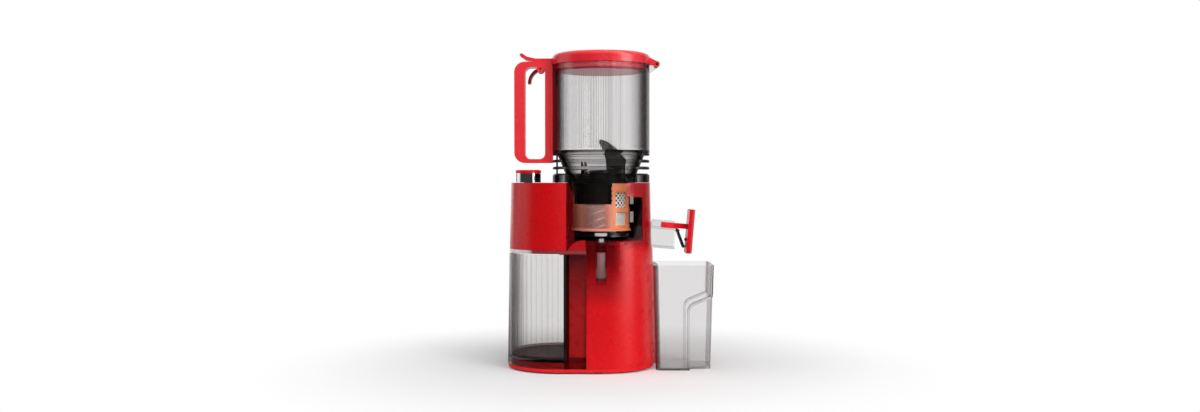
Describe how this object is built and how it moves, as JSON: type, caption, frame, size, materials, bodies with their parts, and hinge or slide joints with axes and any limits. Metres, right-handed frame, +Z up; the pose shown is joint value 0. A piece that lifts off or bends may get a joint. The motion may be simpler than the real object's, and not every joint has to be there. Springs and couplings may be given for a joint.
{
  "type": "cold press juicer",
  "caption": "Upright cold press juicer with a wide feed hopper, hinged lid, carrying handle, auger and strainer, sliding juice container and pulp cup.",
  "frame": {"origin": "on the axis of the drive shaft and auger, at the height of the table that the feet stand on", "axes": "+Z up along the drive axis, +X towards the pulp outlet and pulp cup, -X towards the control knob and juice container, -Y towards the viewer of the picture"},
  "size_m": [0.2873, 0.1592, 0.4404],
  "materials": {
    "red_shell": "satin red moulded plastic",
    "red_part": "satin red moulded plastic",
    "dark_red": "dark red moulded plastic",
    "black_rubber": "black rubber",
    "grey_rubber": "dark grey rubber",
    "trim_metal": "satin metal strip",
    "steel": "brushed stainless steel",
    "chrome": "polished plated ring",
    "black_part": "black moulded plastic",
    "grey_part": "grey moulded plastic",
    "gear_metal": "die-cast case",
    "motor_metal": "painted motor body",
    "board": "green circuit board",
    "clear_smoke": "smoke-tinted clear plastic",
    "clear": "clear plastic",
    "white_rubber": "white silicone",
    "orange": "orange strainer frame",
    "mesh": "perforated strainer wall"
  },
  "bodies": {
    "base": {"main_housing": "red_shell", "base_tray": "red_shell", "feet": "black_rubber", "trim_plate": "trim_metal", "chamber_seat": "red_shell", "seat_seal": "black_rubber", "seat_screws": "steel", "safety_switch": "black_part", "juice_chute": "red_part", "chute_gasket": "grey_rubber", "gearbox_case": "gear_metal", "motor_can": "motor_metal", "shaft_bearing": "black_part", "control_board": "board", "rotary_switch": "black_part", "cord_gland": "black_rubber"},
    "drive": {"drive_shaft": "steel", "output_gear": "gear_metal", "shaft_collar": "steel"},
    "knob": {"knob_ring": "chrome", "knob_cap": "red_part", "knob_stem": "black_part"},
    "container": {"juice_container": "clear"},
    "chamber_set": {"hopper": "clear_smoke", "hopper_barrel": "clear_smoke", "hopper_guide": "clear", "interlock_spring": "steel", "handle": "red_part", "trigger_pin": "steel", "hinge_pin": "steel", "chamber": "clear_smoke", "chamber_seal": "black_rubber", "wiper_pads": "white_rubber", "strainer_frame": "orange", "strainer_mesh": "mesh", "lever_rail": "clear", "lever_spring": "steel", "flap_pin": "steel"},
    "interlock": {"interlock_rod": "black_part"},
    "trigger": {"lid_trigger": "dark_red"},
    "lid": {"lid": "red_part", "lid_plug": "dark_red", "lid_seal": "grey_rubber"},
    "auger": {"auger_body": "black_part", "auger_band": "steel", "auger_sweeper": "black_part"},
    "lever": {"pulp_lever": "red_part"},
    "flap": {"pulp_flap": "black_rubber"},
    "cup": {"pulp_cup": "clear_smoke"}
  },
  "joints": [
    {"name": "drive_spin", "type": "hinge", "parent": "base", "child": "drive", "pos_m": [0, 0, 0.17], "axis": [0, 0, 1], "continuous": true},
    {"name": "knob_turn", "type": "hinge", "parent": "base", "child": "knob", "pos_m": [-0.1025, 0, 0.26], "axis": [0, 0, 1], "range_deg": [-45, 45]},
    {"name": "container_slide", "type": "slide", "parent": "base", "child": "container", "axis": [-1, 0, 0], "range_m": [0, 0.15]},
    {"name": "set_lift", "type": "slide", "parent": "base", "child": "chamber_set", "axis": [0, 0, 1], "range_m": [0, 0.1]},
    {"name": "rod_slide", "type": "slide", "parent": "chamber_set", "child": "interlock", "axis": [0, 0, 1], "range_m": [0, 0.003]},
    {"name": "trigger_pull", "type": "hinge", "parent": "chamber_set", "child": "trigger", "pos_m": [-0.085, 0, 0.4183], "axis": [0, 1, 0], "range_deg": [0, 8], "stiffness_Nm_per_rad": 0.2, "springref_deg": -17.19},
    {"name": "lid_hinge", "type": "hinge", "parent": "chamber_set", "child": "lid", "pos_m": [0.078, 0, 0.425], "axis": [0, 1, 0], "range_deg": [0, 110]},
    {"name": "auger_spin", "type": "hinge", "parent": "chamber_set", "child": "auger", "pos_m": [0, 0, 0.2], "axis": [0, 0, 1], "continuous": true},
    {"name": "lever_pull", "type": "slide", "parent": "chamber_set", "child": "lever", "axis": [0.9965, 0, -0.0837], "range_m": [0, 0.006], "stiffness_N_per_m": 300, "springref_m": -0.01, "deforming": ["lever_spring"]},
    {"name": "flap_swing", "type": "hinge", "parent": "chamber_set", "child": "flap", "pos_m": [0.10748, 0, 0.19201], "axis": [0, 1, 0], "range_deg": [0, 24], "stiffness_Nm_per_rad": 0.02, "springref_deg": -11.46},
    {"name": "cup_slide", "type": "slide", "parent": "base", "child": "cup", "axis": [1, 0, 0], "range_m": [0, 0.15]}
  ],
  "couplings": [
    {"joint": "auger_spin", "follows": "drive_spin", "ratio": 1},
    {"joint": "rod_slide", "follows": "lid_hinge", "m_per_rad": 0.0015}
  ]
}
